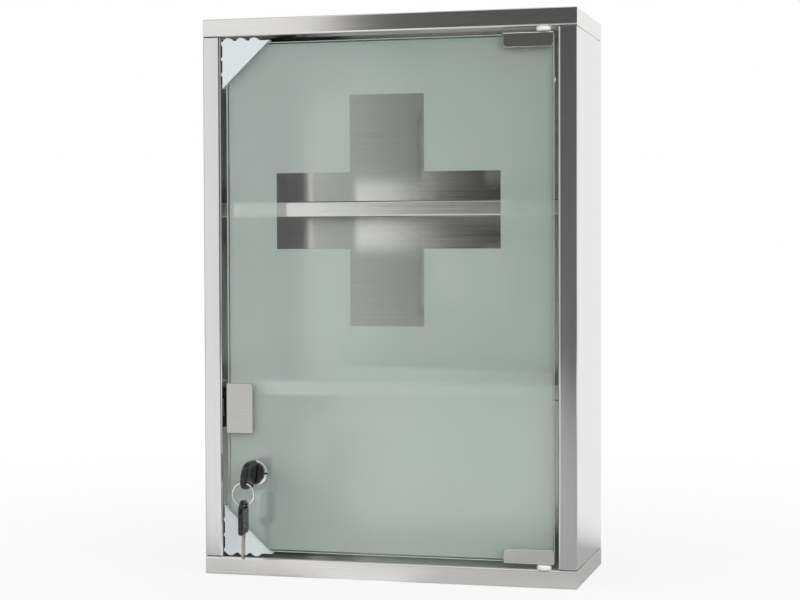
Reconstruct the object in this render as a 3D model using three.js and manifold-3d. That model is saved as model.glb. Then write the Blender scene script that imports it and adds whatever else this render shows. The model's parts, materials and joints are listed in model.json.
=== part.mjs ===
// A wall-hung medicine cabinet: a carcass of folded stainless sheet, two fixed shelves, and a
// frosted glass door on pivot hinges, with a cam lock, two keys on a ring and corner guards.
// Millimetres. X runs to the right, Y to the back, Z up; the origin is the middle of the underside.
import * as THREE from "three";
import { mergeVertices } from "three/addons/utils/BufferGeometryUtils.js";
import Module from "manifold-3d";

const wasm = await Module();
wasm.setup();

// Carcass
const cabinetWidth = 306;
const cabinetDepth = 120;
const cabinetHeight = 450;
const sheet = 0.8;
const foldRadius = 1;
const lipRadius = 2;
const bendSteps = 4;
const capHeight = 14.5;
const capReturn = 20;
const seamGap = 0.5;
const stileWidth = 15;
const jambDepth = 15;
const rearFlange = 12;
const panelGap = 0.3;
const weldTabDepth = 10;
const weldTabLap = 6;
const weldTabMargin = 14;
const weldGap = 0.1;
const toolingHoleRadius = 2;
const toolingHoleSpacing = 134;
const toolingHoleSetback = 9;

// Keyhole slots in the back
const keyholeSpacing = 220;
const keyholeDrop = 45;
const keyholeEntryRadius = 5;
const keyholeSlotRadius = 2.5;
const keyholeTravel = 9;

// Shelves
const upperShelfTop = 302.7;
const lowerShelfTop = 157.6;
const shelfClearance = 3;
const shelfLip = 13;
const shelfLipReturn = 9;
const shelfFlange = 10;
const shelfLipMargin = 2;

// Door glass
const glassThickness = 4;
const doorRecess = 2;
const latchGap = 4.3;
const hingeGap = 3.3;
const edgeGap = 5.2;
const glassArris = 0.4;
const filmThickness = 0.15;
const clearBorder = 1.5;
const crossDrop = 155.2;
const crossSpan = 184;
const crossArm = 61;

// Pivot hinges
const clipSheet = 1;
const clipLiner = 0.5;
const clipLength = 40;
const clipReach = 11.7;
const clipChamfer = 2;
const clipBevel = 0.3;
const clipBendRadius = 1.3;
const linerInset = 0.6;
const linerEase = 0.2;
const hingeInset = 8.2;
const pinRadius = 1.5;
const pinHeadRadius = 2.1;
const pinHeadThickness = 0.4;
const pinTail = 3;
const runningGap = 0.3;
const bushRadius = 5.8;
const bushRound = 1.4;
const bushSpigotRadius = 3;
const bushSpigotTail = 2;
const clampScrewRadius = 2;
const clampScrewLength = 4.5;
const clampScrewSpacing = 22;
const clampScrewDrop = 4.2;
const clampSocketRadius = 1.1;
const clampSocketDepth = 2;

// Corner guards
const guardAcross = 37.5;
const guardUp = 36.3;
const guardPlate = 1;
const guardGap = 0.2;
const guardSideWall = 2.8;
const guardEdgeWall = 1.8;
const sideBumpHeight = 1.1;
const sideBumpRadius = 2;
const sideBumpPitch = 12.3;
const edgeBumpHeight = 2.4;
const edgeBumpRadius = 4.9;
const edgeBumpPitch = 11;
const guardBumps = 3;
const guardRidge = 1.4;
const guardRidgeRise = 0.4;

// Handle
const handleMiddle = 135.4;
const handleTall = 40.2;
const handleReach = 21.6;
const handleBack = 17;
const handleSheet = 1;
const handleLiner = 0.3;
const handleCorner = 2;
const handleBendRadius = 1.2;
const handleLinerInset = 1;

// Magnetic catch behind the handle
const strikeGap = 0.3;
const poleProud = 0.5;
const poleThickness = 1;
const magnetWidth = 5;
const magnetTall = 14;
const catchWidth = 11;
const catchOverhang = 2;
const catchWall = 2;
const catchTall = 18;
const catchLug = 7;
const catchLugThickness = 3;
const catchScrewRadius = 1.4;
const catchScrewHeadRadius = 2.4;
const catchScrewHead = 1.6;
const catchScrewTail = 2;
const fitGap = 0.3;

// Lock
const lockInset = 23.8;
const lockHeight = 83.4;
const bezelRadius = 11.25;
const bezelTopRadius = 9.1;
const bezelProud = 5;
const bezelRim = 1.2;
const bezelSteps = 6;
const facePlateRadius = 8.2;
const facePlateDepth = 0.9;
const faceGroove = 0.35;
const faceRings = 5;
const barrelRadius = 9.5;
const barrelShort = 1.6;
const plugRadius = 5.7;
const plugSet = 0.5;
const washerRadius = 13;
const washerThickness = 1;
const nutAcross = 24;
const nutThickness = 3.5;
const nutSides = 6;
const camThickness = 2;
const camWidth = 9;
const camReach = 38;
const camHubRadius = 7.5;
const camClearance = 0.4;
const camCrankStart = 10;
const camCrankRun = 5;
const camBendRadius = 3;
const camTipCorner = 3;
const tailSide = 6;
const camScrewRadius = 1.5;
const camScrewHeadRadius = 4.5;
const camScrewHead = 2;

// Keys
const keyTilt = THREE.MathUtils.degToRad(8);
const spareKeyTurn = THREE.MathUtils.degToRad(7);
const bowLength = 27;
const bowHalfWidth = 11;
const bowShoulder = 9.2;
const bowShoulderRun = 2;
const bowThickness = 4;
const bowBevel = 0.7;
const bowCorner = 10;
const bowShoulderCorner = 1.2;
const bowSlotNear = 20.4;
const bowSlotWidth = 3.6;
const bowSlotHalf = 6.6;
const bowSlotCorner = 1.6;
const bowStandOff = 0.5;
const bladeLength = 20.4;
const bladeWidth = 7;
const bladeThickness = 1.8;
const bladeTang = 8;
const bladeTip = 2.5;
const bladeCutDepth = 1.3;
const bladeCutPitch = 3.4;
const bladeCuts = 4;
const keywayEnd = 1;

// Key ring
const ringRadius = 9;
const ringWire = 0.65;
const ringSlack = 0.7;
const ringGap = 1.2;
const ringSplitAngle = Math.PI;
const ringSteps = 48;
const ringSides = 8;

// Roundness of turned pieces and holes, and how far a cut runs past the face it opens
const turnedSides = 32;
const arcSides = 12;
const cutPast = 0.8;
const mergeTolerance = 1e-5;

// Planes that several pieces share
const halfWidth = cabinetWidth / 2;
const front = -cabinetDepth / 2;
const back = cabinetDepth / 2;
const halfSheet = sheet / 2;
const jambFace = halfWidth - stileWidth;
const jambRear = front + jambDepth;
const glassLeft = -jambFace + latchGap;
const glassRight = jambFace - hingeGap;
const glassBottom = capHeight + edgeGap;
const glassTop = cabinetHeight - glassBottom;
const glassFront = front + doorRecess;
const glassBack = glassFront + glassThickness;
const filmBack = glassBack + filmThickness;
const hingeX = glassRight - hingeInset;
const hingeY = (glassFront + glassBack) / 2;
const clipUnder = glassBottom - clipLiner - clipSheet;
const strikeBack = filmBack + handleLiner + handleSheet;
const crossHeight = cabinetHeight - crossDrop;
const lockX = glassLeft + lockInset;
const bezelFront = glassFront - bezelProud;
const bowFace = bezelFront - bowStandOff;
const bladeEnd = bowFace + bladeLength;
const plugEnd = bladeEnd + fitGap + keywayEnd;
const barrelEnd = plugEnd - barrelShort;
const camHubFront = plugEnd + fitGap;
const camHubBack = camHubFront + camThickness;
const camTipFront = jambRear + camClearance;
const lockBore = plugRadius + fitGap;
const glassHole = barrelRadius + fitGap;

// Looks
const steel = new THREE.MeshStandardMaterial({ color: 0xc4c5c2, roughness: 0.32, metalness: 1 });
const clipSteel = new THREE.MeshStandardMaterial({ color: 0xcfd0ce, roughness: 0.22, metalness: 1 });
const chrome = new THREE.MeshStandardMaterial({ color: 0xe4e6e8, roughness: 0.08, metalness: 1 });
const zinc = new THREE.MeshStandardMaterial({ color: 0xa9acad, roughness: 0.4, metalness: 1 });
const nickel = new THREE.MeshStandardMaterial({ color: 0xc9c4b8, roughness: 0.25, metalness: 1 });
const glass = new THREE.MeshStandardMaterial({
  color: 0xcfe3dc,
  roughness: 0.02,
  metalness: 0,
  transparent: true,
  opacity: 0.35,
});
const frost = new THREE.MeshStandardMaterial({
  color: 0xb7c4bd,
  roughness: 0.7,
  metalness: 0,
  transparent: true,
  opacity: 0.85,
});
const whitePlastic = new THREE.MeshStandardMaterial({ color: 0xe6ebed, roughness: 0.45, metalness: 0 });
const nylon = new THREE.MeshStandardMaterial({ color: 0xf2f2ee, roughness: 0.4, metalness: 0 });
const vinyl = new THREE.MeshStandardMaterial({ color: 0xb9c0be, roughness: 0.6, metalness: 0 });
const blackPlastic = new THREE.MeshStandardMaterial({ color: 0x1d2022, roughness: 0.5, metalness: 0 });
const ferrite = new THREE.MeshStandardMaterial({ color: 0x3a3a3c, roughness: 0.7, metalness: 0.2 });

// Section planes: an extrusion along x is drawn in (y, z), along y in (x, z), along z in (x, y).
const axisX = new THREE.Vector3(1, 0, 0);
const axisY = new THREE.Vector3(0, 1, 0);
const axisZ = new THREE.Vector3(0, 0, 1);
const extrusionFrames = {
  x: new THREE.Matrix4().makeBasis(axisY, axisZ, axisX),
  y: new THREE.Matrix4().makeBasis(axisX, axisZ, axisY.clone().negate()),
  z: new THREE.Matrix4(),
};
const turningFrames = {
  x: new THREE.Matrix4().makeBasis(axisY.clone().negate(), axisX, axisZ),
  y: new THREE.Matrix4(),
  z: new THREE.Matrix4().makeBasis(axisX, axisZ, axisY.clone().negate()),
};

function solidOf(geometry) {
  geometry.deleteAttribute("normal");
  geometry.deleteAttribute("uv");
  const merged = mergeVertices(geometry, mergeTolerance);
  return new wasm.Manifold(
    new wasm.Mesh({
      numProp: 3,
      vertProperties: merged.attributes.position.array,
      triVerts: new Uint32Array(merged.index.array),
    }),
  );
}

function geometryOf(solid) {
  const mesh = solid.getMesh();
  const geometry = new THREE.BufferGeometry();
  geometry.setAttribute("position", new THREE.BufferAttribute(mesh.vertProperties, mesh.numProp));
  geometry.setIndex(new THREE.BufferAttribute(mesh.triVerts, 1));
  const faceted = geometry.toNonIndexed();
  faceted.computeVertexNormals();
  return faceted;
}

// A shape pushed along an axis between two planes, with an optional chamfer round both ends.
function extrude(shape, axis, from, to, chamfer = 0) {
  const geometry = new THREE.ExtrudeGeometry(shape, {
    depth: to - from - 2 * chamfer,
    bevelEnabled: chamfer > 0,
    bevelThickness: chamfer,
    bevelSize: chamfer,
    bevelOffset: -chamfer,
    bevelSegments: 1,
    curveSegments: arcSides,
    steps: 1,
  });
  geometry.translate(0, 0, chamfer);
  geometry.applyMatrix4(extrusionFrames[axis]);
  const start = axis === "y" ? to : from;
  const shift = new THREE.Vector3().setComponent("xyz".indexOf(axis), start);
  geometry.translate(shift.x, shift.y, shift.z);
  return solidOf(geometry);
}

// A profile of [radius, place along the axis] pairs turned about an axis. A profile that leaves
// the axis alone closes on its first point.
function turned(profile, axis, sides = turnedSides) {
  const points = profile.map(([radius, along]) => new THREE.Vector2(radius, along));
  if (points[0].x > 0) points.push(points[0].clone());
  const geometry = new THREE.LatheGeometry(points, sides);
  geometry.applyMatrix4(turningFrames[axis]);
  return solidOf(geometry);
}

function rod(radius, axis, from, to) {
  return turned([[0, from], [radius, from], [radius, to], [0, to]], axis);
}

function block(x0, x1, y0, y1, z0, z1) {
  const geometry = new THREE.BoxGeometry(x1 - x0, y1 - y0, z1 - z0);
  geometry.translate((x0 + x1) / 2, (y0 + y1) / 2, (z0 + z1) / 2);
  return solidOf(geometry);
}

// Points round one bend, as [point, direction of travel] pairs, for a given centre line radius.
function bendPoints(before, corner, after, radius) {
  const into = corner.clone().sub(before).normalize();
  const out = after.clone().sub(corner).normalize();
  const turn = Math.atan2(into.cross(out), into.dot(out));
  const side = Math.sign(turn);
  const start = corner.clone().addScaledVector(into, -radius * Math.tan(Math.abs(turn) / 2));
  const centre = start.clone().addScaledVector(new THREE.Vector2(-into.y, into.x), side * radius);
  return Array.from({ length: bendSteps + 1 }, (_, step) => {
    const heading = into.clone().rotateAround(new THREE.Vector2(), (turn * step) / bendSteps);
    const normal = new THREE.Vector2(-heading.y, heading.x);
    return [centre.clone().addScaledVector(normal, -side * radius), heading];
  });
}

// The section of a strip folded along a middle line of [x, y, outside bend radius] corners.
function foldedStrip(corners, thickness) {
  const points = corners.map(([x, y]) => new THREE.Vector2(x, y));
  const last = points.length - 1;
  const line = points.flatMap((point, i) => {
    if (i === 0) return [[point, points[1].clone().sub(point).normalize()]];
    if (i === last) return [[point, point.clone().sub(points[last - 1]).normalize()]];
    return bendPoints(points[i - 1], point, points[i + 1], corners[i][2] - thickness / 2);
  });
  const offset = (way) =>
    line.map(([point, heading]) =>
      point.clone().addScaledVector(new THREE.Vector2(-heading.y, heading.x), (way * thickness) / 2),
    );
  return new THREE.Shape([...offset(1), ...offset(-1).reverse()]);
}

// A closed outline of [x, y, corner radius] points; a corner with no radius stays sharp.
function outline(corners) {
  const points = corners.map(([x, y]) => new THREE.Vector2(x, y));
  const count = points.length;
  return new THREE.Shape(
    points.flatMap((point, i) => {
      const radius = corners[i][2];
      if (!radius) return [point];
      const bend = bendPoints(points[(i + count - 1) % count], point, points[(i + 1) % count], radius);
      return bend.map(([place]) => place);
    }),
  );
}

function circle(x, y, radius) {
  return new THREE.Shape().absarc(x, y, radius, 0, 2 * Math.PI, false);
}

function addPiece(group, name, solid, material) {
  const mesh = new THREE.Mesh(geometryOf(solid), material);
  mesh.name = name;
  group.add(mesh);
  return mesh;
}

// A piece at the foot of the cabinet and its mirror image at the head.
function addPair(group, name, solid, material) {
  addPiece(group, "bottom_" + name, solid, material);
  const upper = addPiece(group, "top_" + name, solid, material);
  upper.scale.z = -1;
  upper.position.z = cabinetHeight;
}

// Carcass of folded sheet

function capSolid() {
  const strip = foldedStrip(
    [
      [back - halfSheet, capHeight],
      [back - halfSheet, halfSheet, foldRadius],
      [front + halfSheet, halfSheet, foldRadius],
      [front + halfSheet, capHeight - halfSheet, lipRadius],
      [front + capReturn, capHeight - halfSheet],
    ],
    sheet,
  );
  const skirt = outline([
    [back, capHeight],
    [front, capHeight, lipRadius],
    [front, 0, foldRadius],
    [back, 0, foldRadius],
  ]);
  const across = outline([
    [-halfWidth, capHeight],
    [-halfWidth, 0, foldRadius],
    [halfWidth, 0, foldRadius],
    [halfWidth, capHeight],
  ]);
  let cap = extrude(strip, "x", -halfWidth, halfWidth)
    .add(extrude(skirt, "x", -halfWidth, -halfWidth + sheet))
    .add(extrude(skirt, "x", halfWidth - sheet, halfWidth))
    .intersect(extrude(across, "y", front, back));
  const holes = [circle(hingeX, hingeY, bushSpigotRadius + fitGap)];
  for (const side of [-1, 1]) {
    const place = (side * toolingHoleSpacing) / 2;
    holes.push(circle(place, front + toolingHoleSetback, toolingHoleRadius));
  }
  for (const hole of holes) {
    cap = cap.subtract(extrude(hole, "z", capHeight - sheet - cutPast, capHeight + cutPast));
  }
  return cap;
}

const catchFront = strikeBack + strikeGap + poleProud;
const catchScrewY = (catchFront + jambRear) / 2;
const catchScrewOffset = catchTall / 2 + catchLug / 2;

function sidePanelSolid(side) {
  const wall = halfWidth - halfSheet;
  const low = capHeight + seamGap;
  const high = cabinetHeight - low;
  const strip = foldedStrip(
    [
      [side * (halfWidth - rearFlange), back - halfSheet],
      [side * wall, back - halfSheet, foldRadius],
      [side * wall, front + halfSheet, foldRadius],
      [side * (jambFace + halfSheet), front + halfSheet, lipRadius],
      [side * (jambFace + halfSheet), jambRear],
    ],
    sheet,
  );
  let panel = extrude(strip, "z", low, high);
  const span = (a, b) => [Math.min(side * a, side * b), Math.max(side * a, side * b)];
  const inner = halfWidth - 2 * sheet - weldGap;
  const tabFront = front + capReturn + weldTabMargin;
  const tabBack = back - weldTabMargin;
  for (const [from, to, lapFrom, lapTo] of [
    [low - weldTabDepth, low + weldTabLap, low, low + weldTabLap],
    [high - weldTabLap, high + weldTabDepth, high - weldTabLap, high],
  ]) {
    panel = panel
      .add(block(...span(inner, halfWidth - sheet - weldGap), tabFront, tabBack, from, to))
      .add(block(...span(inner, halfWidth - halfSheet), tabFront, tabBack, lapFrom, lapTo));
  }
  if (side > 0) return panel;
  for (const way of [-1, 1]) {
    const height = handleMiddle + way * catchScrewOffset;
    const hole = extrude(
      circle(catchScrewY, height, catchScrewRadius + fitGap),
      "x",
      -jambFace - sheet - cutPast,
      -jambFace + cutPast,
    );
    panel = panel.subtract(hole);
  }
  return panel;
}

function backPanelSolid() {
  const edge = halfWidth - sheet - panelGap;
  const inner = back - 2 * sheet;
  let panel = block(-edge, edge, inner, back - sheet, sheet + panelGap, cabinetHeight - sheet - panelGap);
  for (const side of [-1, 1]) {
    const x = (side * keyholeSpacing) / 2;
    const entry = cabinetHeight - keyholeDrop;
    const top = entry + keyholeTravel;
    const slot = outline([
      [x - keyholeSlotRadius, entry],
      [x + keyholeSlotRadius, entry],
      [x + keyholeSlotRadius, top],
      [x - keyholeSlotRadius, top],
    ]);
    for (const shape of [circle(x, entry, keyholeEntryRadius), slot, circle(x, top, keyholeSlotRadius)]) {
      panel = panel.subtract(extrude(shape, "y", inner - cutPast, back));
    }
  }
  return panel;
}

function shelfSolid(top) {
  const lipFront = jambRear + shelfClearance;
  const rear = back - 2 * sheet - weldGap;
  const end = halfWidth - sheet - weldGap;
  const strip = foldedStrip(
    [
      [rear - halfSheet, top - shelfFlange],
      [rear - halfSheet, top - halfSheet, foldRadius],
      [lipFront + halfSheet, top - halfSheet, lipRadius],
      [lipFront + halfSheet, top - shelfLip + halfSheet, lipRadius],
      [lipFront + shelfLipReturn, top - shelfLip + halfSheet],
    ],
    sheet,
  );
  let shelf = extrude(strip, "x", -end, end);
  const flangeFront = lipFront + shelfLipReturn + shelfLipMargin;
  const flangeRear = rear - foldRadius - shelfLipMargin;
  for (const [x0, x1] of [[-end, -end + sheet], [end - sheet, end]]) {
    shelf = shelf.add(block(x0, x1, flangeFront, flangeRear, top - shelfFlange, top - halfSheet));
  }
  return shelf;
}

// Hinge fittings, drawn at the foot of the door

function hingeClipSolid() {
  const outerFront = glassFront - clipLiner - clipSheet;
  const outerBack = filmBack + clipLiner + clipSheet;
  const top = clipUnder + clipReach;
  const half = clipSheet / 2;
  const strip = foldedStrip(
    [
      [outerFront + half, top],
      [outerFront + half, clipUnder + half, clipBendRadius],
      [outerBack - half, clipUnder + half, clipBendRadius],
      [outerBack - half, top],
    ],
    clipSheet,
  );
  const face = outline([
    [glassRight - clipLength, clipUnder],
    [glassRight, clipUnder],
    [glassRight, top - clipChamfer],
    [glassRight - clipChamfer, top],
    [glassRight - clipLength + clipChamfer, top],
    [glassRight - clipLength, top - clipChamfer],
  ]);
  let clip = extrude(strip, "x", glassRight - clipLength, glassRight)
    .intersect(extrude(face, "y", outerFront, outerBack, clipBevel))
    .subtract(rodAtHinge(pinRadius + fitGap, clipUnder - cutPast, clipUnder + clipSheet + cutPast));
  for (const x of clampScrewPlaces()) {
    const hole = circle(x, clampScrewZ, clampScrewRadius + fitGap);
    clip = clip.subtract(extrude(hole, "y", filmBack + clipLiner - cutPast, outerBack + cutPast));
  }
  return clip;
}

function rodAtHinge(radius, from, to) {
  return extrude(circle(hingeX, hingeY, radius), "z", from, to);
}

const clampScrewZ = glassBottom + clampScrewDrop;

function clampScrewPlaces() {
  const middle = glassRight - clipLength / 2;
  return [middle - clampScrewSpacing / 2, middle + clampScrewSpacing / 2];
}

function hingeLinerSolid() {
  const half = clipLiner / 2;
  const linerCorner = clipBendRadius - clipSheet + linerEase;
  const top = clipUnder + clipReach - linerInset;
  const strip = outline([
    [glassFront - clipLiner, glassBottom - clipLiner, linerCorner],
    [filmBack + clipLiner, glassBottom - clipLiner, linerCorner],
    [filmBack + clipLiner, top],
    [filmBack, top],
    [filmBack, glassBottom],
    [glassFront, glassBottom],
    [glassFront, top],
    [glassFront - clipLiner, top],
  ]);
  const inset = linerInset;
  return extrude(strip, "x", glassRight - clipLength + inset, glassRight - inset).subtract(
    rodAtHinge(pinHeadRadius + fitGap, glassBottom - clipLiner - half, glassBottom + half),
  );
}

function clampScrewSolid() {
  const tip = filmBack + clipLiner;
  const end = tip + clampScrewLength;
  const socket = circle(0, 0, clampSocketRadius);
  return rod(clampScrewRadius, "y", tip, end).subtract(
    extrude(socket, "y", end - clampSocketDepth, end + cutPast),
  );
}

function hingePinSolid() {
  const head = glassBottom - clipLiner + pinHeadThickness;
  const seat = glassBottom - clipLiner;
  const tail = capHeight - sheet - pinTail;
  return turned(
    [
      [0, tail],
      [pinRadius, tail],
      [pinRadius, seat],
      [pinHeadRadius, seat],
      [pinHeadRadius, head],
      [0, head],
    ],
    "z",
  );
}

function hingeBushSolid() {
  const bore = pinRadius + runningGap;
  const foot = capHeight - sheet - bushSpigotTail;
  const top = clipUnder - runningGap;
  const rim = Array.from({ length: bendSteps + 1 }, (_, step) => {
    const angle = ((Math.PI / 2) * step) / bendSteps;
    const inset = bushRound * (1 - Math.cos(angle));
    return [bushRadius - inset, top - bushRound + bushRound * Math.sin(angle)];
  });
  return turned(
    [
      [bore, foot],
      [bushSpigotRadius, foot],
      [bushSpigotRadius, capHeight],
      [bushRadius, capHeight],
      ...rim,
      [bore, top],
    ],
    "z",
  );
}

// Corner guard at the lower corner of the latch edge: a folded-over pocket with scalloped edges

function cornerGuardSolid() {
  const left = glassLeft - guardSideWall;
  const low = glassBottom - guardEdgeWall;
  const tipX = glassLeft + guardAcross;
  const tipZ = glassBottom + guardUp;
  const plateFront = glassFront - guardGap - guardPlate;
  const plateBack = filmBack + guardGap + guardPlate;
  const shape = new THREE.Shape();
  const downward = -Math.PI / 2;
  const addBump = (x, z, radius, height, facing) => {
    const spread = Math.acos((radius - height) / radius);
    shape.absarc(x, z, radius, facing - spread, facing + spread, false);
  };
  const edgeCentre = low - edgeBumpHeight + edgeBumpRadius;
  const sideCentre = left - sideBumpHeight + sideBumpRadius;
  const edgeFirst = left + edgeBumpRadius;
  const sideFirst = low + sideBumpRadius;
  shape.moveTo(left, low);
  for (let i = 0; i < guardBumps; i++) {
    addBump(edgeFirst + i * edgeBumpPitch, edgeCentre, edgeBumpRadius, edgeBumpHeight, downward);
  }
  shape.lineTo(tipX, low);
  shape.lineTo(left, tipZ);
  for (let i = guardBumps - 1; i >= 0; i--) {
    addBump(sideCentre, sideFirst + i * sideBumpPitch, sideBumpRadius, sideBumpHeight, Math.PI);
  }
  shape.closePath();
  const slope = new THREE.Vector2(left - tipX, tipZ - low).normalize();
  const inward = new THREE.Vector2(-slope.y, slope.x).multiplyScalar(guardRidge);
  const ridge = outline([
    [tipX, low],
    [left, tipZ],
    [left, tipZ + inward.y - (inward.x * slope.y) / slope.x],
    [tipX + inward.x - (inward.y * slope.x) / slope.y, low],
  ]);
  const pocket = block(
    glassLeft - guardGap,
    tipX + guardAcross,
    glassFront - guardGap,
    filmBack + guardGap,
    glassBottom - guardGap,
    tipZ + guardUp,
  );
  return extrude(shape, "y", plateFront, plateBack)
    .add(extrude(ridge, "y", plateFront - guardRidgeRise, plateFront + guardPlate / 2))
    .subtract(pocket);
}

// Handle: a plate folded over the latch edge of the glass

function handleSolid() {
  const half = handleSheet / 2;
  const outerFront = glassFront - handleLiner - handleSheet;
  const left = glassLeft - handleLiner - handleSheet;
  const low = handleMiddle - handleTall / 2;
  const high = handleMiddle + handleTall / 2;
  const right = glassLeft + handleReach;
  const strip = foldedStrip(
    [
      [right, outerFront + half],
      [left + half, outerFront + half, handleBendRadius],
      [left + half, strikeBack - half, handleBendRadius],
      [glassLeft + handleBack, strikeBack - half],
    ],
    handleSheet,
  );
  const face = outline([
    [left, low],
    [right, low, handleCorner],
    [right, high, handleCorner],
    [left, high],
  ]);
  return extrude(strip, "z", low, high).intersect(extrude(face, "y", outerFront, strikeBack));
}

function handleLinerSolid() {
  const linerCorner = handleBendRadius - handleSheet + linerEase;
  const outer = glassFront - handleLiner;
  const rear = filmBack + handleLiner;
  const right = glassLeft + handleBack - handleLinerInset;
  const strip = outline([
    [right, outer],
    [right, glassFront],
    [glassLeft, glassFront],
    [glassLeft, filmBack],
    [right, filmBack],
    [right, rear],
    [glassLeft - handleLiner, rear, linerCorner],
    [glassLeft - handleLiner, outer, linerCorner],
  ]);
  const half = handleTall / 2 - handleLinerInset;
  return extrude(strip, "z", handleMiddle - half, handleMiddle + half);
}

// Magnetic catch on the latch jamb

const catchLeft = -jambFace;
const catchMiddleX = catchLeft + catchWidth / 2;
const poleFront = strikeBack + strikeGap;
const catchBack = jambRear + catchOverhang;
const magnetBack = catchBack - catchWall;

function catchHousingSolid() {
  const low = handleMiddle - catchTall / 2;
  const high = handleMiddle + catchTall / 2;
  const lugEdge = catchLeft + catchLugThickness;
  const plan = outline([
    [catchLeft, low - catchLug],
    [lugEdge, low - catchLug],
    [lugEdge, low],
    [catchLeft + catchWidth, low, foldRadius],
    [catchLeft + catchWidth, high, foldRadius],
    [lugEdge, high],
    [lugEdge, high + catchLug],
    [catchLeft, high + catchLug],
  ]);
  const pocketHalf = magnetWidth / 2 + poleThickness + 2 * fitGap;
  let housing = extrude(plan, "y", catchFront, catchBack).subtract(
    block(
      catchMiddleX - pocketHalf,
      catchMiddleX + pocketHalf,
      catchFront - cutPast,
      magnetBack + fitGap,
      handleMiddle - magnetTall / 2 - fitGap,
      handleMiddle + magnetTall / 2 + fitGap,
    ),
  );
  for (const way of [-1, 1]) {
    const height = handleMiddle + way * catchScrewOffset;
    const hole = circle(catchScrewY, height, catchScrewRadius + fitGap);
    housing = housing.subtract(extrude(hole, "x", catchLeft - cutPast, lugEdge + cutPast));
  }
  return housing;
}

function catchMagnetSolid() {
  const half = magnetWidth / 2;
  return block(
    catchMiddleX - half,
    catchMiddleX + half,
    poleFront + poleProud,
    magnetBack,
    handleMiddle - magnetTall / 2,
    handleMiddle + magnetTall / 2,
  );
}

function catchPoleSolid(side) {
  const near = magnetWidth / 2 + fitGap;
  const edges = [catchMiddleX + side * near, catchMiddleX + side * (near + poleThickness)];
  return block(
    Math.min(...edges),
    Math.max(...edges),
    poleFront,
    magnetBack,
    handleMiddle - magnetTall / 2,
    handleMiddle + magnetTall / 2,
  );
}

function catchScrewSolid() {
  const seat = catchLeft + catchLugThickness;
  const tail = catchLeft - sheet - catchScrewTail;
  return turned(
    [
      [0, tail],
      [catchScrewRadius, tail],
      [catchScrewRadius, seat],
      [catchScrewHeadRadius, seat],
      [catchScrewHeadRadius, seat + catchScrewHead / 2],
      [catchScrewHeadRadius / 2, seat + catchScrewHead],
      [0, seat + catchScrewHead],
    ],
    "x",
    turnedSides / 2,
  );
}

// Cam lock, drawn about an axis through the middle of the barrel

function lockBodySolid() {
  const domeRise = bezelProud - bezelRim;
  const dome = Array.from({ length: bezelSteps + 1 }, (_, step) => {
    const angle = ((Math.PI / 2) * step) / bezelSteps;
    const radius = bezelTopRadius + (bezelRadius - bezelTopRadius) * Math.sin(angle);
    return [radius, bezelFront + domeRise * (1 - Math.cos(angle))];
  });
  return turned(
    [
      [lockBore, bezelFront + facePlateDepth],
      [facePlateRadius + fitGap, bezelFront + facePlateDepth],
      [facePlateRadius + fitGap, bezelFront],
      ...dome,
      [bezelRadius, glassFront],
      [barrelRadius, glassFront],
      [barrelRadius, barrelEnd],
      [lockBore, barrelEnd],
    ],
    "y",
  );
}

function lockFaceSolid() {
  const seat = bezelFront + facePlateDepth;
  const width = (facePlateRadius - lockBore) / faceRings;
  const at = (step) => lockBore + step * width;
  const rings = Array.from({ length: faceRings }, (_, ring) => {
    const level = ring % 2 === 0 ? bezelFront : bezelFront + faceGroove;
    return [[at(ring), level], [at(ring + 1), level]];
  }).flat();
  return turned([...rings, [at(faceRings), seat], [at(0), seat]], "y");
}

function lockWasherSolid() {
  const bore = barrelRadius + fitGap;
  const rear = filmBack + washerThickness;
  return turned([[bore, filmBack], [washerRadius, filmBack], [washerRadius, rear], [bore, rear]], "y");
}

function lockNutSolid() {
  const near = filmBack + washerThickness;
  const corner = nutAcross / 2 / Math.cos(Math.PI / nutSides);
  const shape = new THREE.Shape(
    Array.from({ length: nutSides }, (_, i) => {
      const angle = (2 * i * Math.PI) / nutSides;
      return new THREE.Vector2(corner * Math.cos(angle), corner * Math.sin(angle));
    }),
  );
  shape.holes.push(circle(0, 0, barrelRadius + fitGap));
  return extrude(shape, "y", near, near + nutThickness);
}

// The outline of a slot through the lock axis, turned to the keyway's angle.
function keywayShape(halfWide, halfTall) {
  const corners = [[-1, -1], [1, -1], [1, 1], [-1, 1]];
  return new THREE.Shape(
    corners.map(([x, z]) =>
      new THREE.Vector2(x * halfWide, z * halfTall).rotateAround(new THREE.Vector2(), -keyTilt),
    ),
  );
}

function lockPlugSolid() {
  const half = tailSide / 2;
  const face = bezelFront + plugSet;
  const tailEnd = camHubBack - fitGap;
  const keyway = keywayShape(bladeThickness / 2 + fitGap, bladeWidth / 2 + fitGap);
  return rod(plugRadius, "y", face, plugEnd)
    .add(block(-half, half, plugEnd - cutPast, tailEnd, -half, half))
    .subtract(extrude(keyway, "y", face - cutPast, bladeEnd + fitGap))
    .subtract(rod(camScrewRadius + fitGap, "y", plugEnd - fitGap, tailEnd + cutPast));
}

function lockCamSolid() {
  const half = camThickness / 2;
  const strip = foldedStrip(
    [
      [camHubFront + half, camHubRadius],
      [camHubFront + half, -camCrankStart, camBendRadius],
      [camTipFront + half, -camCrankStart - camCrankRun, camBendRadius],
      [camTipFront + half, -camReach],
    ],
    camThickness,
  );
  const arm = outline([
    [-camWidth / 2, 0],
    [-camWidth / 2, -camReach, camTipCorner],
    [camWidth / 2, -camReach, camTipCorner],
    [camWidth / 2, 0],
  ]);
  const hub = circle(0, 0, camHubRadius);
  const square = tailSide / 2 + fitGap;
  const reach = camTipFront - camThickness;
  const plan = extrude(arm, "y", reach, camHubBack + camThickness).add(
    extrude(hub, "y", reach, camHubBack + camThickness),
  );
  return extrude(strip, "x", -camHubRadius, camHubRadius)
    .intersect(plan)
    .subtract(block(-square, square, reach, camHubBack + camThickness, -square, square));
}

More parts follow.
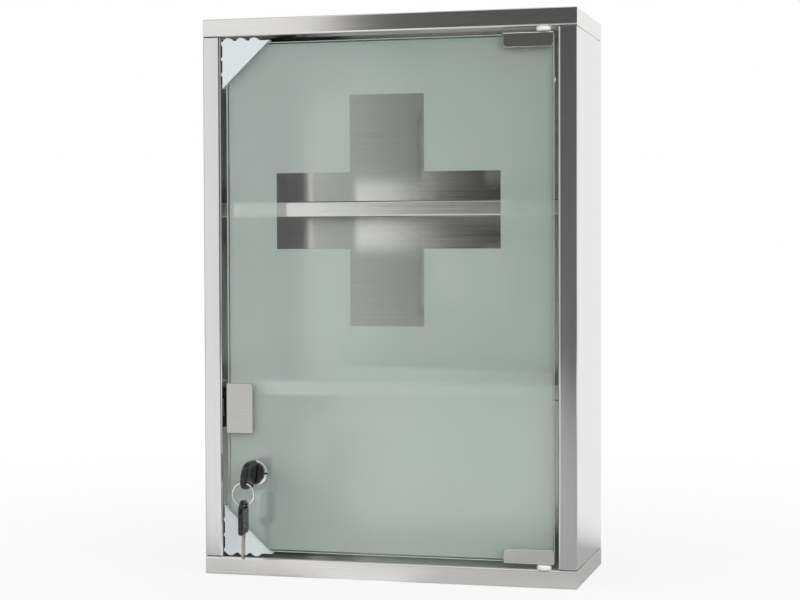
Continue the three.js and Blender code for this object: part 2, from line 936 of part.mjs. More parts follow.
function camScrewSolid() {
  const end = camHubBack + camScrewHead;
  return turned(
    [
      [0, plugEnd],
      [camScrewRadius, plugEnd],
      [camScrewRadius, camHubBack],
      [camScrewHeadRadius, camHubBack],
      [camScrewHeadRadius, end - camScrewHead / 2],
      [camScrewHeadRadius - camScrewHead / 2, end],
      [0, end],
    ],
    "y",
    turnedSides / 2,
  );
}

// Key, drawn with its shoulder at the origin, its bow towards -Y and its blade towards +Y

function keyBowSolid() {
  const profile = outline([
    [0, -bowShoulder],
    [0, bowShoulder],
    [-bowShoulderRun, bowHalfWidth, bowShoulderCorner],
    [-bowLength, bowHalfWidth, bowCorner],
    [-bowLength, -bowHalfWidth, bowCorner],
    [-bowShoulderRun, -bowHalfWidth, bowShoulderCorner],
  ]);
  const slotFar = bowSlotNear + bowSlotWidth;
  profile.holes.push(
    outline([
      [-bowSlotNear, -bowSlotHalf, bowSlotCorner],
      [-bowSlotNear, bowSlotHalf, bowSlotCorner],
      [-slotFar, bowSlotHalf, bowSlotCorner],
      [-slotFar, -bowSlotHalf, bowSlotCorner],
    ]),
  );
  const half = bladeThickness / 2 + fitGap;
  const tall = bladeWidth / 2 + fitGap;
  return extrude(profile, "x", -bowThickness / 2, bowThickness / 2, bowBevel).subtract(
    block(-half, half, -bladeTang - fitGap, cutPast, -tall, tall),
  );
}

function keyBladeSolid() {
  const half = bladeWidth / 2;
  const profile = new THREE.Shape();
  profile.moveTo(-bladeTang, -half);
  profile.lineTo(bladeLength - bladeTip, -half);
  profile.lineTo(bladeLength, 0);
  for (let i = bladeCuts - 1; i >= 0; i--) {
    const place = bladeLength - bladeTip - (bladeCuts - i) * bladeCutPitch;
    profile.lineTo(place + bladeCutPitch, half);
    profile.lineTo(place + bladeCutPitch / 2, half - bladeCutDepth);
  }
  profile.lineTo(bladeLength - bladeTip - bladeCuts * bladeCutPitch, half);
  profile.lineTo(-bladeTang, half);
  profile.closePath();
  return extrude(profile, "x", -bladeThickness / 2, bladeThickness / 2);
}

// Key ring: a wire bent round a circle with a small split

class SplitRing extends THREE.Curve {
  getPoint(t, target = new THREE.Vector3()) {
    const opening = ringGap / ringRadius;
    const angle = ringSplitAngle + opening / 2 + t * (2 * Math.PI - opening);
    return target.set(ringRadius * Math.cos(angle), 0, ringRadius * Math.sin(angle));
  }
}

function keyRingSolid() {
  const wire = new THREE.Shape(
    Array.from({ length: ringSides }, (_, i) => {
      const angle = ((i + 0.5) * 2 * Math.PI) / ringSides;
      return new THREE.Vector2(ringWire * Math.cos(angle), ringWire * Math.sin(angle));
    }),
  );
  const geometry = new THREE.ExtrudeGeometry(wire, {
    steps: ringSteps,
    extrudePath: new SplitRing(),
    bevelEnabled: false,
  });
  return solidOf(geometry);
}

// The ring hangs on the bar of plastic below the slot in the bow of the key that is in the lock.
const slotMiddle = bowSlotNear + bowSlotWidth / 2;
const pastCorner = slotMiddle - bowLength + bowCorner;
const bowEdge = bowHalfWidth - bowCorner + Math.sqrt(bowCorner ** 2 - pastCorner ** 2);
const barMiddle = (bowSlotHalf + bowEdge) / 2;
const ringDrop = ringRadius - ((bowEdge - bowSlotHalf) / 2 + ringWire + ringSlack);
const ringX = lockX - barMiddle * Math.sin(keyTilt);
const ringY = bowFace - slotMiddle;
const ringZ = lockHeight - barMiddle * Math.cos(keyTilt) - ringDrop;
const ringFoot = ringZ - ringRadius;
const spareShoulder = ringFoot + ringWire + ringSlack - bowSlotNear - bowSlotWidth;

// Assembly: one group for each body that moves as a whole

const cabinet = new THREE.Group();
addPair(cabinet, "cap", capSolid(), steel);
addPiece(cabinet, "left_side_panel", sidePanelSolid(-1), steel);
addPiece(cabinet, "right_side_panel", sidePanelSolid(1), steel);
addPiece(cabinet, "back_panel", backPanelSolid(), steel);
addPiece(cabinet, "upper_shelf", shelfSolid(upperShelfTop), steel);
addPiece(cabinet, "lower_shelf", shelfSolid(lowerShelfTop), steel);
const hingeSeat = new THREE.Group();
hingeSeat.position.set(hingeX, hingeY, 0);
addPair(hingeSeat, "hinge_bush", hingeBushSolid(), nylon);
cabinet.add(hingeSeat);
addPiece(cabinet, "catch_housing", catchHousingSolid(), blackPlastic);
addPiece(cabinet, "catch_magnet", catchMagnetSolid(), ferrite);
addPiece(cabinet, "catch_pole_left", catchPoleSolid(-1), zinc);
addPiece(cabinet, "catch_pole_right", catchPoleSolid(1), zinc);
for (const [name, way] of [["lower", -1], ["upper", 1]]) {
  const screw = addPiece(cabinet, "catch_screw_" + name, catchScrewSolid(), zinc);
  screw.position.set(0, catchScrewY, handleMiddle + way * catchScrewOffset);
}

const door = new THREE.Group();
const pane = outline([
  [glassLeft, glassBottom],
  [glassRight, glassBottom],
  [glassRight, glassTop],
  [glassLeft, glassTop],
]);
pane.holes.push(circle(lockX, lockHeight, glassHole));
addPiece(door, "door_glass", extrude(pane, "y", glassFront, glassBack, glassArris), glass);

const filmShape = outline([
  [glassLeft + clearBorder, glassBottom + clearBorder],
  [glassRight - clearBorder, glassBottom + clearBorder],
  [glassRight - clearBorder, glassTop - clearBorder],
  [glassLeft + clearBorder, glassTop - clearBorder],
]);
const long = crossSpan / 2;
const short = crossArm / 2;
const crossQuarter = [[long, -short], [long, short], [short, short]];
filmShape.holes.push(
  new THREE.Path(
    [0, 1, 2, 3].flatMap((quarter) =>
      crossQuarter.map(([x, z]) =>
        new THREE.Vector2(x, z)
          .rotateAround(new THREE.Vector2(), (quarter * Math.PI) / 2)
          .add(new THREE.Vector2(0, crossHeight)),
      ),
    ),
  ),
);
filmShape.holes.push(circle(lockX, lockHeight, glassHole + fitGap));
addPiece(door, "frost_film", extrude(filmShape, "y", glassBack, filmBack), frost);

addPair(door, "corner_guard", cornerGuardSolid(), whitePlastic);
addPair(door, "hinge_clip", hingeClipSolid(), clipSteel);
addPair(door, "clip_liner", hingeLinerSolid(), vinyl);
const pivot = new THREE.Group();
pivot.position.set(hingeX, hingeY, 0);
addPair(pivot, "hinge_pin", hingePinSolid(), zinc);
door.add(pivot);
for (const [end, height] of [["bottom", clampScrewZ], ["top", cabinetHeight - clampScrewZ]]) {
  clampScrewPlaces().forEach((x, i) => {
    const name = end + "_clamp_screw_" + ["left", "right"][i];
    addPiece(door, name, clampScrewSolid(), zinc).position.set(x, 0, height);
  });
}
addPiece(door, "handle_clip", handleSolid(), clipSteel);
addPiece(door, "handle_liner", handleLinerSolid(), vinyl);

const lock = new THREE.Group();
lock.position.set(lockX, 0, lockHeight);
addPiece(lock, "lock_body", lockBodySolid(), chrome);
addPiece(lock, "lock_face", lockFaceSolid(), blackPlastic);
addPiece(lock, "lock_washer", lockWasherSolid(), zinc);
addPiece(lock, "lock_nut", lockNutSolid(), zinc);
door.add(lock);

const rotor = new THREE.Group();
rotor.position.set(lockX, 0, lockHeight);
addPiece(rotor, "lock_plug", lockPlugSolid(), nickel);
addPiece(rotor, "lock_cam", lockCamSolid(), zinc);
addPiece(rotor, "cam_screw", camScrewSolid(), zinc);
const key = new THREE.Group();
key.position.y = bowFace;
key.rotation.y = keyTilt;
addPiece(key, "key_bow", keyBowSolid(), blackPlastic);
addPiece(key, "key_blade", keyBladeSolid(), nickel);
rotor.add(key);

const ring = new THREE.Group();
ring.position.set(ringX, ringY, ringZ);
addPiece(ring, "key_ring", keyRingSolid(), chrome);

const spareKey = new THREE.Group();
spareKey.position.set(ringX, ringY, spareShoulder);
spareKey.rotation.set(-Math.PI / 2, 0, spareKeyTurn, "ZYX");
addPiece(spareKey, "spare_key_bow", keyBowSolid(), blackPlastic);
addPiece(spareKey, "spare_key_blade", keyBladeSolid(), nickel);

const medicineCabinet = new THREE.Group();
medicineCabinet.name = "medicine_cabinet";
medicineCabinet.add(cabinet, door, rotor, ring, spareKey);

export default medicineCabinet;
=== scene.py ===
"""Looks for a wall-hung medicine cabinet: brushed stainless sheet, a frosted glass door with a
clear cross, white corner guards, pivot clips and a cam lock with two keys on a ring.
Metres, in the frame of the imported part: X to the right, Y to the wall, Z up."""

import json
import math

import bmesh
import bpy
from mathutils import Matrix, Vector

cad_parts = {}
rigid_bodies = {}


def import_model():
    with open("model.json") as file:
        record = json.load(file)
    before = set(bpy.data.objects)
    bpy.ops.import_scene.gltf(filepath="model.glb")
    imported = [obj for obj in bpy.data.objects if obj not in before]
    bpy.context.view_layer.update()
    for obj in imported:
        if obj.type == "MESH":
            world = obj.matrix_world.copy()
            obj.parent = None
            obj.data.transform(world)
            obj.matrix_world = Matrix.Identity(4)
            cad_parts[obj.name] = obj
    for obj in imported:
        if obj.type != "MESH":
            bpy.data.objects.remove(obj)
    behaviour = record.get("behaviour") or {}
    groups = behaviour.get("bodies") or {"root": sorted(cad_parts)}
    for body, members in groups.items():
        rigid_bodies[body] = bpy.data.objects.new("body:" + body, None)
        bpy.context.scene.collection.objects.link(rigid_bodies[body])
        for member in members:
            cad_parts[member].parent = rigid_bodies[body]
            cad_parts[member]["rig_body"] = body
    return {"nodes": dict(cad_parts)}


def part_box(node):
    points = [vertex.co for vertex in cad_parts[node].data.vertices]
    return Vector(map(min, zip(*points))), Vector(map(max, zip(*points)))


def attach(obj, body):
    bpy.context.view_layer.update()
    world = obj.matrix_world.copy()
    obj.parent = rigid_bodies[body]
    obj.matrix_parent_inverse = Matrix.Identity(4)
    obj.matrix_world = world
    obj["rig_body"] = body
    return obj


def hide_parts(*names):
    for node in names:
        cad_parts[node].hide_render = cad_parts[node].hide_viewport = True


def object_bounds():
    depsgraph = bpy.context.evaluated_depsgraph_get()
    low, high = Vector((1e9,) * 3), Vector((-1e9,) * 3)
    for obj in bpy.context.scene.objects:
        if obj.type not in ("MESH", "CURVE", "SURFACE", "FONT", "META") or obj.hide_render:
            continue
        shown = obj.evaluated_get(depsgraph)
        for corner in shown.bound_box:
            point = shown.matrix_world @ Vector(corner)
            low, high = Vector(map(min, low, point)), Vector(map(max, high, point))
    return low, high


MM = 0.001

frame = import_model()
cad_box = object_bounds()
nodes = frame["nodes"]
scene = bpy.context.scene

# Camera at the photograph's viewing angle
CAMERA_PLACE = (0.39187, -1.47856, 0.26510)
CAMERA_HEADING = math.radians(15.0)
CAMERA_PITCH = math.radians(-1.61)
CAMERA_ROLL = math.radians(-0.178)
CAMERA_LENS = 83.7
SENSOR_WIDTH = 36.0

# Shapes of the dressed pieces
EDGE_ANGLE = math.radians(35)
SMOOTH_ANGLE = math.radians(52)
FLAT_ANGLE = math.radians(0.4)
MERGE = 0.001 * MM
SHEET_EDGE = 0.15 * MM
FILM_INSET = 0.03 * MM
PANE_FACE = 0.9  # a normal further along Y than this belongs to a face of the pane

# Noise textures; the scales are in repeats to the metre
NOISE_ROUGHNESS = 0.55
ALONG_GRAIN = 12
PLATING_CLOUDS = 900
GLASS_HAZE = 14
GRIND_GRAIN = 1500
FROST_GRAIN = 3000
FROST_CLOUDS = 9

# Brushed steel
BAND_SHARE = 0.3
LINE_SHADE = 0.88
LINE_RANGE = {"floor": 0.4, "ceiling": 0.9}
LINE_DEPTH = 0.02 * MM
LINE_STRENGTH = 0.12
TANGENT_LEAN = (0.02, 0.02, 0.05)

# Black index mark at three o'clock on the bezel of the lock
MARK_INSET = 1.3 * MM
MARK_HALF_LENGTH = 1.0 * MM
MARK_HALF_WIDTH = 0.7 * MM
MARK_COLOUR = (0.01, 0.01, 0.01)

# Stage
FLOOR_HALF = 6.0
FLOOR_DROP = 0.4 * MM
FLOOR_GREY = (0.62, 0.62, 0.62, 1)
FLOOR_GLOW = (0.86, 1.0)
FLOOR_FADE = {"floor": 0.15, "ceiling": 0.9}
LANE_HEADING = math.radians(15)
LANE_EDGE = {"floor": 0.8, "ceiling": 0.95}
SIDE_LIGHT = 0.55
PLAIN_LIGHT = 0.5
FLAG_PLACE = -2.6
FLAG_RIGHT = 2.4
FLAG_HEIGHT = 2.4
MAT_DROP = 0.2 * MM
WALL_PLACE = cad_box[1][1] + 0.5 * MM


# Material helpers


def add_node(tree, kind, **settings):
    """A shader node with its input sockets and properties set by name."""
    node = tree.nodes.new("ShaderNode" + kind)
    for key, value in settings.items():
        socket = key.replace("_", " ").title()
        if socket in node.inputs:
            node.inputs[socket].default_value = value
        else:
            setattr(node, key, value)
    return node


def new_material(name, **values):
    """A material whose Principled sockets hold the given constants."""
    material = bpy.data.materials.new(name)
    material.use_nodes = True
    tree = material.node_tree
    shader = tree.nodes["Principled BSDF"]
    for key, value in values.items():
        shader.inputs[key].default_value = value
    return material, tree, shader


def place(tree, scale):
    """Object coordinates stretched by a scale for each axis."""
    coordinates = add_node(tree, "TexCoord")
    mapping = add_node(tree, "Mapping", scale=scale)
    tree.links.new(coordinates.outputs["Object"], mapping.inputs["Vector"])
    return mapping.outputs["Vector"]


def noise(tree, vector, detail):
    node = add_node(tree, "TexNoise", detail=detail, roughness=NOISE_ROUGHNESS, scale=1.0)
    tree.links.new(vector, node.inputs["Vector"])
    return node.outputs["Fac"]


def combine(tree, operation, *values):
    """A math node fed by sockets and numbers."""
    node = add_node(tree, "Math", operation=operation)
    for socket, value in zip(node.inputs, values):
        if isinstance(value, float):
            socket.default_value = value
        else:
            tree.links.new(value, socket)
    return node.outputs["Value"]


def spread(tree, value, low, high, floor=0.25, ceiling=0.75):
    """Maps a value from between floor and ceiling to a range."""
    node = add_node(
        tree,
        "MapRange",
        from_min=floor,
        from_max=ceiling,
        to_min=low,
        to_max=high,
    )
    tree.links.new(value, node.inputs["Value"])
    return node.outputs["Result"]


def colour_mix(tree, factor):
    """The two colour sockets and the result of a mix."""
    node = add_node(tree, "Mix", data_type="RGBA")
    tree.links.new(factor, node.inputs["Factor"])
    first, second = [socket for socket in node.inputs if socket.type == "RGBA"]
    return first, second, node.outputs[2]


def blend_colours(tree, factor, first_colour, second_colour):
    first, second, result = colour_mix(tree, factor)
    first.default_value = (*first_colour, 1)
    second.default_value = (*second_colour, 1)
    return result


def paint_between(tree, shader, factor, colour, shade):
    """Base colour between a colour and its darker shade."""
    darker = [c * shade for c in colour]
    tree.links.new(blend_colours(tree, factor, darker, colour), shader.inputs["Base Color"])


def add_bump(tree, shader, height, strength, distance):
    bump = add_node(tree, "Bump", strength=strength, distance=distance)
    tree.links.new(height, bump.inputs["Height"])
    tree.links.new(bump.outputs["Normal"], shader.inputs["Normal"])


def add_tangent(tree, shader, direction):
    """Points the anisotropic highlight by a direction fixed to the piece."""
    vector = add_node(tree, "CombineXYZ")
    for socket, value in zip(vector.inputs, direction):
        socket.default_value = value
    turn = add_node(tree, "VectorTransform", convert_from="OBJECT", convert_to="WORLD")
    tree.links.new(vector.outputs["Vector"], turn.inputs["Vector"])
    tree.links.new(turn.outputs["Vector"], shader.inputs["Tangent"])


def mix_surface(tree, factor, first, second):
    """Sends a mix of two shaders to the surface."""
    mix = add_node(tree, "MixShader")
    tree.links.new(factor, mix.inputs["Fac"])
    tree.links.new(first, mix.inputs[1])
    tree.links.new(second, mix.inputs[2])
    tree.links.new(mix.outputs["Shader"], tree.nodes["Material Output"].inputs["Surface"])


def let_lamps_through(tree, shader, tint):
    """Rays from lamps pass straight through a pane, tinted."""
    path = add_node(tree, "LightPath")
    clear = add_node(tree, "BsdfTransparent", color=(*tint, 1))
    mix_surface(
        tree,
        path.outputs["Is Shadow Ray"],
        shader.outputs["BSDF"],
        clear.outputs["BSDF"],
    )


# Materials


def brushed(name, grain, colour, rough, line=2400, metallic=1.0):
    """Brushed sheet: fine lines along the grain in colour, roughness and bump."""
    material, tree, shader = new_material(
        name,
        **{"Metallic": metallic, "Anisotropic": 0.7, "Anisotropic Rotation": 0.25},
    )
    axis = "XYZ".index(grain)
    fine = [line] * 3
    fine[axis] = ALONG_GRAIN
    coarse = [line / 5] * 3
    coarse[axis] = ALONG_GRAIN / 3
    lines = noise(tree, place(tree, fine), detail=4.0)
    bands = noise(tree, place(tree, coarse), detail=2.0)
    both = combine(tree, "MULTIPLY_ADD", bands, BAND_SHARE, lines)
    paint_between(tree, shader, spread(tree, both, 0.0, 1.0, **LINE_RANGE), colour, LINE_SHADE)
    tree.links.new(
        spread(tree, both, rough - 0.03, rough + 0.04, **LINE_RANGE),
        shader.inputs["Roughness"],
    )
    add_bump(tree, shader, lines, strength=LINE_STRENGTH, distance=LINE_DEPTH)
    direction = list(TANGENT_LEAN)
    direction[axis] = 1.0
    add_tangent(tree, shader, direction)
    return material


def plated(name, colour, rough):
    """Plated or polished metal with a faint cloudiness."""
    material, tree, shader = new_material(name, **{"Metallic": 1.0})
    clouds = noise(tree, place(tree, [PLATING_CLOUDS] * 3), detail=2.0)
    paint_between(tree, shader, clouds, colour, shade=0.9)
    tree.links.new(spread(tree, clouds, rough * 0.8, rough * 1.25), shader.inputs["Roughness"])
    return material


def lock_chrome():
    """Polished chrome with the small black index mark of the bezel filled in."""
    material = plated("lock_chrome", (0.86, 0.86, 0.87), 0.07)
    tree = material.node_tree
    base = tree.nodes["Principled BSDF"].inputs["Base Color"]
    plating = base.links[0].from_socket
    low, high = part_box("lock_body")
    mark_x = high.x - MARK_INSET
    mark_z = (low.z + high.z) / 2
    coordinates = add_node(tree, "TexCoord")
    parts = add_node(tree, "SeparateXYZ")
    tree.links.new(coordinates.outputs["Object"], parts.inputs["Vector"])
    beside = combine(tree, "COMPARE", parts.outputs["Z"], mark_z, MARK_HALF_WIDTH)
    outside = combine(tree, "COMPARE", parts.outputs["X"], mark_x, MARK_HALF_LENGTH)
    first, second, result = colour_mix(tree, combine(tree, "MULTIPLY", beside, outside))
    tree.links.new(plating, first)
    second.default_value = (*MARK_COLOUR, 1)
    tree.links.new(result, base)
    return material


def moulded(name, colour, rough, grain=2600, strength=0.2, mottle=0.9):
    """Moulded plastic: fine leather-like grain and slight mottling."""
    material, tree, shader = new_material(name, **{"Specular IOR Level": 0.5})
    fine = noise(tree, place(tree, [grain] * 3), detail=2.0)
    clouds = noise(tree, place(tree, [grain / 30] * 3), detail=3.0)
    paint_between(tree, shader, clouds, colour, shade=mottle)
    tree.links.new(spread(tree, clouds, rough - 0.06, rough + 0.06), shader.inputs["Roughness"])
    add_bump(tree, shader, fine, strength=strength, distance=0.03 * MM)
    return material


def clear_glass():
    """The pane: clear, with the least trace of green."""
    material, tree, shader = new_material(
        "clear_glass",
        **{"Transmission Weight": 1.0, "IOR": 1.5, "Roughness": 0.0},
    )
    haze = noise(tree, place(tree, [GLASS_HAZE] * 3), detail=2.0)
    tint = blend_colours(tree, haze, (0.975, 0.99, 0.98), (0.985, 0.996, 0.988))
    tree.links.new(tint, shader.inputs["Base Color"])
    let_lamps_through(tree, shader, (0.9, 0.95, 0.93))
    return material


def ground_glass_edge():
    """The ground edge of the pane, where the glass shows its green."""
    material, tree, shader = new_material(
        "ground_glass_edge",
        **{"Transmission Weight": 0.3, "IOR": 1.5},
    )
    grind = noise(tree, place(tree, [GRIND_GRAIN] * 3), detail=3.0)
    tint = blend_colours(tree, grind, (0.46, 0.58, 0.53), (0.66, 0.78, 0.72))
    tree.links.new(tint, shader.inputs["Base Color"])
    tree.links.new(spread(tree, grind, 0.25, 0.45), shader.inputs["Roughness"])
    let_lamps_through(tree, shader, (0.6, 0.75, 0.7))
    return material


def frosted(name, colour, transmission, rough):
    """The satin layer on the back of the pane."""
    material, tree, shader = new_material(
        name,
        **{"Transmission Weight": transmission, "IOR": 1.4, "Specular IOR Level": 0.3},
    )
    grit = noise(tree, place(tree, [FROST_GRAIN] * 3), detail=2.0)
    clouds = noise(tree, place(tree, [FROST_CLOUDS] * 3), detail=3.0)
    both = combine(tree, "ADD", grit, clouds)
    factor = spread(tree, both, 0.0, 1.0, floor=0.7, ceiling=1.3)
    paint_between(tree, shader, factor, colour, shade=0.95)
    tree.links.new(spread(tree, grit, rough - 0.04, rough + 0.04), shader.inputs["Roughness"])
    let_lamps_through(tree, shader, (0.8, 0.84, 0.82))
    return material


STEEL = (0.785, 0.775, 0.755)
steel_across = brushed("steel_across", "X", STEEL, 0.14)
steel_up = brushed("steel_up", "Z", (0.745, 0.745, 0.74), 0.12)
shelf_steel = brushed("shelf_steel", "X", STEEL, 0.24)
satin_steel = brushed("satin_steel", "X", STEEL, 0.24, metallic=0.7)
clip_steel = brushed("clip_steel", "X", (0.80, 0.795, 0.775), 0.12, line=2200)
handle_steel = brushed("handle_steel", "X", (0.56, 0.565, 0.55), 0.3, line=2200)
zinc = plated("zinc", (0.62, 0.63, 0.63), 0.35)
black_nickel = plated("black_nickel", (0.22, 0.22, 0.225), 0.12)
bright_zinc = plated("bright_zinc", (0.80, 0.80, 0.79), 0.3)
nickel = plated("nickel", (0.42, 0.39, 0.35), 0.22)
wire = plated("ring_wire", (0.80, 0.80, 0.78), 0.14)
bezel_chrome = lock_chrome()
nylon = moulded("nylon", (0.86, 0.86, 0.83), 0.4)
guard_plastic = moulded("guard_plastic", (0.68, 0.72, 0.74), 0.42, mottle=0.95)
black_plastic = moulded("black_plastic", (0.01, 0.011, 0.012), 0.26, grain=1800, strength=0.3)
catch_plastic = moulded("catch_plastic", (0.03, 0.03, 0.03), 0.5)
vinyl = moulded("vinyl", (0.45, 0.49, 0.47), 0.6)
ferrite = moulded("ferrite", (0.06, 0.06, 0.062), 0.7, strength=0.5)
pane_glass = clear_glass()
pane_edge = ground_glass_edge()
frost = frosted("frost", (0.93, 0.965, 0.948), 0.76, 0.34)


# Dressing: every CAD node gets a copy with softened edges and its own material


def soften(work, edge):
    """Bevels the sharp edges of a piece."""
    corners = [
        item
        for item in work.edges
        if len(item.link_faces) == 2 and item.calc_face_angle(0) > EDGE_ANGLE
    ]
    bmesh.ops.bevel(
        work,
        geom=corners,
        offset=edge,
        offset_type="OFFSET",
        segments=2,
        profile=0.5,
        affect="EDGES",
        clamp_overlap=True,
    )


def dress(node, material, edge=0.0, reshape=None):
    """A copy of a CAD node with merged corners, softened edges and smooth shading."""
    source = nodes[node]
    mesh = source.data.copy()
    work = bmesh.new()
    work.from_mesh(mesh)
    bmesh.ops.remove_doubles(work, verts=work.verts, dist=MERGE)
    bmesh.ops.dissolve_limit(work, angle_limit=FLAT_ANGLE, verts=work.verts, edges=work.edges)
    if edge:
        soften(work, edge)
    if reshape:
        reshape(work)
    for face in work.faces:
        face.smooth = True
    work.to_mesh(mesh)
    work.free()
    mesh.set_sharp_from_angle(angle=SMOOTH_ANGLE)
    mesh.materials.clear()
    mesh.materials.append(material)
    piece = bpy.data.objects.new(node + "_finish", mesh)
    scene.collection.objects.link(piece)
    normals = piece.modifiers.new("face_weights", "WEIGHTED_NORMAL")
    normals.keep_sharp = True
    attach(piece, source["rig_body"])
    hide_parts(node)
    return piece


def thin_film(work):
    """Draws the two faces of the film in, so that it doesn't lie in the face of the glass."""
    places = [vertex.co.y for vertex in work.verts]
    middle = (min(places) + max(places)) / 2
    for vertex in work.verts:
        vertex.co.y += FILM_INSET if vertex.co.y < middle else -FILM_INSET


for node in ("top_cap", "back_panel"):
    dress(node, steel_across, edge=SHEET_EDGE)
for node in ("bottom_cap", "lower_shelf"):
    dress(node, satin_steel, edge=SHEET_EDGE)
dress("upper_shelf", shelf_steel, edge=SHEET_EDGE)
for node in ("left_side_panel", "right_side_panel"):
    dress(node, steel_up, edge=SHEET_EDGE)
for end in ("top", "bottom"):
    dress(end + "_hinge_clip", clip_steel, edge=0.12 * MM)
    dress(end + "_clip_liner", vinyl)
    dress(end + "_hinge_bush", nylon, edge=0.2 * MM)
    dress(end + "_hinge_pin", zinc, edge=0.1 * MM)
    dress(end + "_corner_guard", guard_plastic, edge=0.25 * MM)
    for side in ("left", "right"):
        dress(f"{end}_clamp_screw_{side}", zinc, edge=0.1 * MM)
dress("handle_clip", handle_steel, edge=0.35 * MM)
dress("handle_liner", vinyl)
dress("catch_housing", catch_plastic, edge=0.3 * MM)
dress("catch_magnet", ferrite, edge=0.1 * MM)
for node in ("catch_pole_left", "catch_pole_right"):
    dress(node, zinc, edge=0.1 * MM)
for node in ("catch_screw_lower", "catch_screw_upper", "lock_washer", "lock_nut", "cam_screw"):
    dress(node, zinc, edge=0.15 * MM)
dress("lock_cam", bright_zinc, edge=0.15 * MM)
dress("lock_body", bezel_chrome, edge=0.12 * MM)
dress("lock_face", black_nickel, edge=0.06 * MM)
dress("lock_plug", black_nickel, edge=0.15 * MM)
for node in ("key_bow", "spare_key_bow"):
    dress(node, black_plastic, edge=0.3 * MM)
for node in ("key_blade", "spare_key_blade"):
    dress(node, nickel, edge=0.12 * MM)
dress("key_ring", wire)
dress("frost_film", frost, reshape=thin_film)
pane = dress("door_glass", pane_glass)
pane.data.materials.append(pane_edge)
for polygon in pane.data.polygons:
    if abs(polygon.normal.y) < PANE_FACE:
        polygon.material_index = 1


# Stage: pale floor, white surroundings, cards for the metal and the glass, and soft lamps


def hide_from(item, *rays):
    for ray in rays:
        setattr(item, "visible_" + ray, False)


def stage_sheet(name, corners):
    """A flat sheet with four corners, and its mesh."""
    mesh = bpy.data.meshes.new(name)
    mesh.from_pydata(corners, [], [(0, 1, 2, 3)])
    sheet = bpy.data.objects.new(name, mesh)
    scene.collection.objects.link(sheet)
    return sheet, mesh


def upright(left, right, low, high, depth):
    """The corners of an upright sheet that faces along Y."""
    return [(left, depth, low), (right, depth, low), (right, depth, high), (left, depth, high)]


def bright_lane(tree, vector, dim):
    """The studio as the metal sees it: white along a lane from the front left to behind the
    cabinet on the right, and dim to both sides."""
    flat = add_node(tree, "VectorMath", operation="MULTIPLY")
    flat.inputs[1].default_value = (1, 1, 0)
    tree.links.new(vector, flat.inputs[0])
    heading = add_node(tree, "VectorMath", operation="NORMALIZE")
    tree.links.new(flat.outputs["Vector"], heading.inputs[0])
    along = add_node(tree, "VectorMath", operation="DOT_PRODUCT")
    along.inputs[1].default_value = (math.sin(LANE_HEADING), math.cos(LANE_HEADING), 0)
    tree.links.new(heading.outputs["Vector"], along.inputs[0])
    either = combine(tree, "ABSOLUTE", along.outputs["Value"])
    return spread(tree, either, dim, 1.0, **LANE_EDGE)


def stage_floor():
    """A pale floor that fades to white with distance and looks white in the metal along the
    lane."""
    floor, mesh = stage_sheet(
        "floor",
        [
            (-FLOOR_HALF, -FLOOR_HALF, -FLOOR_DROP),
            (FLOOR_HALF, -FLOOR_HALF, -FLOOR_DROP),
            (FLOOR_HALF, FLOOR_HALF, -FLOOR_DROP),
            (-FLOOR_HALF, FLOOR_HALF, -FLOOR_DROP),
        ],
    )
    material, tree, shader = new_material(
        "floor_white",
        **{"Base Color": FLOOR_GREY, "Roughness": 0.9, "Specular IOR Level": 0.1},
    )
    glow = add_node(tree, "Emission", color=(1, 1, 1, 1))
    path = add_node(tree, "LightPath")
    coordinates = add_node(tree, "TexCoord")
    away = add_node(tree, "VectorMath", operation="LENGTH")
    tree.links.new(coordinates.outputs["Object"], away.inputs["Vector"])
    share = spread(tree, away.outputs["Value"], *FLOOR_GLOW, **FLOOR_FADE)
    lane = bright_lane(tree, coordinates.outputs["Object"], 0.0)
    mirrored = combine(tree, "MULTIPLY", path.outputs["Is Glossy Ray"], lane)
    seen = combine(tree, "MULTIPLY_ADD", path.outputs["Is Camera Ray"], share, mirrored)
    mix_surface(tree, seen, shader.outputs["BSDF"], glow.outputs["Emission"])
    mesh.materials.append(material)


def stage_card(name, corners, near, far, run, edge, hidden):
    """A cloth card that the camera doesn't see, and no ray in hidden either. Its grey goes from
    near to far over the share run of its second side, and it fades in over the share edge of its
    first side."""
    card, mesh = stage_sheet(name, corners)
    layer = mesh.uv_layers.new(name="card")
    for loop, spot in zip(layer.data, ((0, 0), (1, 0), (1, 1), (0, 1))):
        loop.uv = spot
    material, tree, shader = new_material(name, **{"Roughness": 1.0, "Specular IOR Level": 0.0})
    coordinates = add_node(tree, "TexCoord")
    parts = add_node(tree, "SeparateXYZ")
    tree.links.new(coordinates.outputs["UV"], parts.inputs["Vector"])
    grey = spread(tree, parts.outputs["Y"], near, far, floor=0.0, ceiling=run)
    tree.links.new(grey, shader.inputs["Base Color"])
    cover = spread(tree, parts.outputs["X"], 0.0, 1.0, floor=0.0, ceiling=edge)
    tree.links.new(cover, shader.inputs["Alpha"])
    mesh.materials.append(material)
    hide_from(card, "camera", "shadow", *hidden)
    return card


def soft_lamp(name, place_at, target, width, height, power):
    """A large lamp that neither the metal nor the glass shows."""
    lamp = bpy.data.lights.new(name, "AREA")
    lamp.shape = "RECTANGLE"
    lamp.size = width
    lamp.size_y = height
    lamp.energy = power
    holder = bpy.data.objects.new(name, lamp)
    scene.collection.objects.link(holder)
    holder.location = place_at
    hide_from(holder, "transmission", "glossy")
    aim = Vector(target) - Vector(place_at)
    holder.rotation_euler = aim.to_track_quat("-Z", "Y").to_euler()


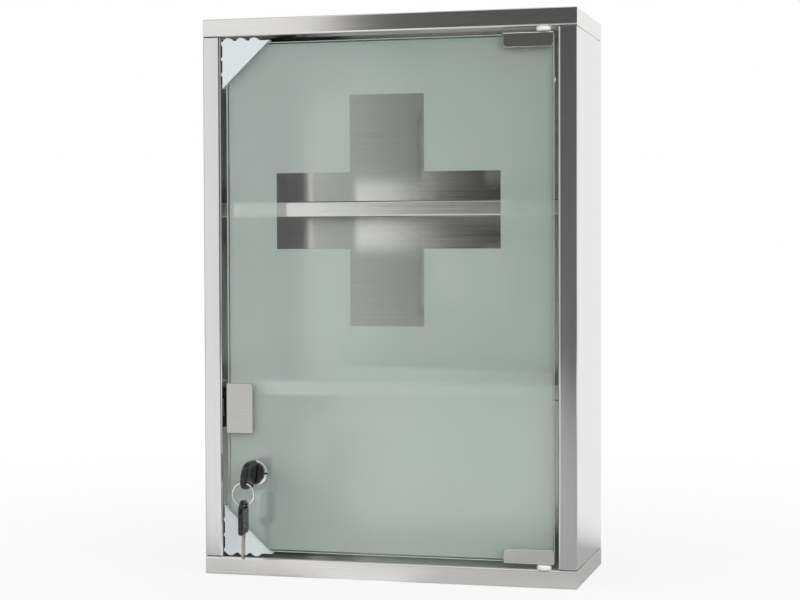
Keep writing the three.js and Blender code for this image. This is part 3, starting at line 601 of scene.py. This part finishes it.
def white_world():
    """White for the camera and the glass, the lane for the metal, and a plain level of soft
    light."""
    world = bpy.data.worlds.new("studio")
    scene.world = world
    world.use_nodes = True
    tree = world.node_tree
    background = tree.nodes["Background"]
    background.inputs["Color"].default_value = (1, 1, 1, 1)
    path = add_node(tree, "LightPath")
    coordinates = add_node(tree, "TexCoord")
    lane = bright_lane(tree, coordinates.outputs["Generated"], SIDE_LIGHT)
    strength = combine(tree, "MULTIPLY", path.outputs["Is Glossy Ray"], lane)
    for ray in ("Is Camera Ray", "Is Transmission Ray"):
        strength = combine(tree, "MAXIMUM", strength, path.outputs[ray])
    strength = combine(tree, "MAXIMUM", strength, PLAIN_LIGHT)
    tree.links.new(strength, background.inputs["Strength"])


stage_floor()
# Two dark flags behind the camera: one that the metal mirrors and one, starting further right,
# for rays that have passed through glass
stage_card(
    "metal_flag",
    upright(-0.86, FLAG_RIGHT, 0, FLAG_HEIGHT, FLAG_PLACE),
    near=0.25,
    far=0.125,
    run=0.3,
    edge=0.03,
    hidden=["transmission"],
)
stage_card(
    "glass_flag",
    upright(-0.76, FLAG_RIGHT, 0, FLAG_HEIGHT, FLAG_PLACE),
    near=0.25,
    far=0.125,
    run=0.12,
    edge=0.04,
    hidden=["glossy", "diffuse"],
)
# A mat in front of the cabinet, which is only seen mirrored
mat = stage_card(
    "floor_mat",
    [(-0.1, -0.1, 0), (1.2, -0.1, 0), (0.7, FLAG_PLACE, 0), (-0.6, FLAG_PLACE, 0)],
    near=0.5,
    far=0.22,
    run=0.9,
    edge=0.2,
    hidden=["diffuse", "transmission"],
)
mat.location.z = -MAT_DROP
# The wall behind the keyhole slots, for rays that have passed through glass
stage_card(
    "wall_behind",
    upright(-0.15, 0.15, 0.3, 0.44, WALL_PLACE),
    near=0.5,
    far=0.5,
    run=1.0,
    edge=0.01,
    hidden=["glossy", "diffuse"],
)
white_world()
soft_lamp("left_softbox", (-1.9, -1.6, 1.3), (0, 0, 0.25), 2.4, 2.2, 26)
soft_lamp("top_softbox", (0.2, -0.5, 2.1), (0, 0, 0.2), 1.6, 1.2, 8)
soft_lamp("right_softbox", (1.9, -1.6, 1.3), (0.05, 0, 0.2), 2.6, 2.2, 50)

camera_data = bpy.data.cameras.new("camera")
camera_data.lens = CAMERA_LENS
camera_data.sensor_width = SENSOR_WIDTH
camera_data.sensor_fit = "HORIZONTAL"
camera = bpy.data.objects.new("camera", camera_data)
scene.collection.objects.link(camera)
camera.matrix_world = (
    Matrix.Translation(CAMERA_PLACE)
    @ Matrix.Rotation(CAMERA_HEADING, 4, "Z")
    @ Matrix.Rotation(math.pi / 2 + CAMERA_PITCH, 4, "X")
    @ Matrix.Rotation(CAMERA_ROLL, 4, "Z")
)
scene.camera = camera
scene.view_settings.view_transform = "Standard"
